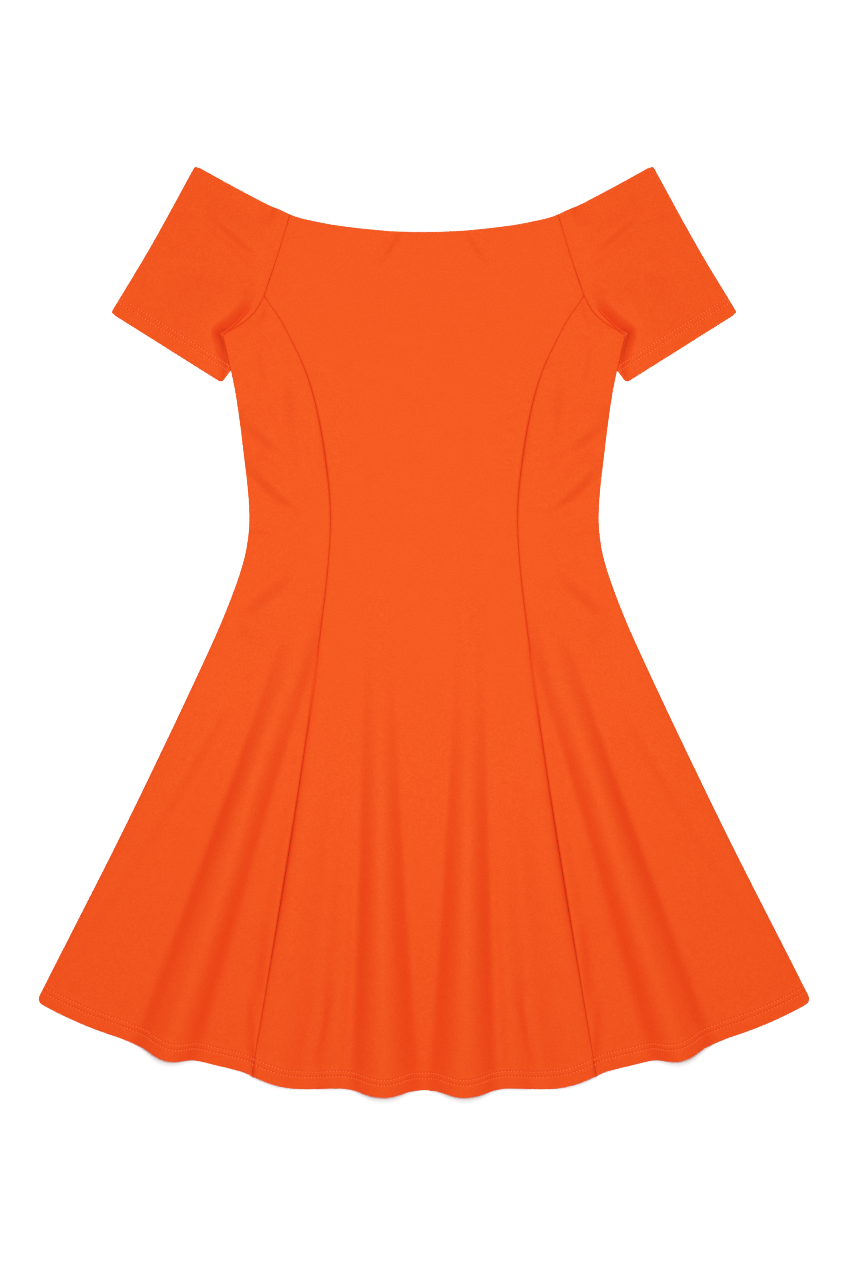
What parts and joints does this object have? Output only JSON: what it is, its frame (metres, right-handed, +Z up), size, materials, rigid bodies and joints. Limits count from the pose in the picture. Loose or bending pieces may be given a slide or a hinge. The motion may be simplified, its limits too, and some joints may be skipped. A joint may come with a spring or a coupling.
{
  "type": "skater dress",
  "caption": "Off-the-shoulder skater dress in plain orange jersey, with short sleeves, princess seams and a flared skirt, laid flat.",
  "frame": {"origin": "on the surface that the dress lies on, under the middle of its box", "axes": "+Z up out of the front of the dress, +Y from the hem to the neckline, +X to the wearer's left, which is the right of someone who looks down at the front"},
  "size_m": [0.7242, 0.8722, 0.0237],
  "materials": {
    "jersey": "matt, close-knit stretch jersey with a fine, even surface",
    "thread": "soft polyester sewing thread in the cloth's own colour, a little brighter"
  },
  "bodies": {
    "root": {"front_centre": "jersey", "front_side_left": "jersey", "front_side_right": "jersey", "back": "jersey", "sleeve_left": "jersey", "sleeve_right": "jersey"}
  },
  "joints": []
}
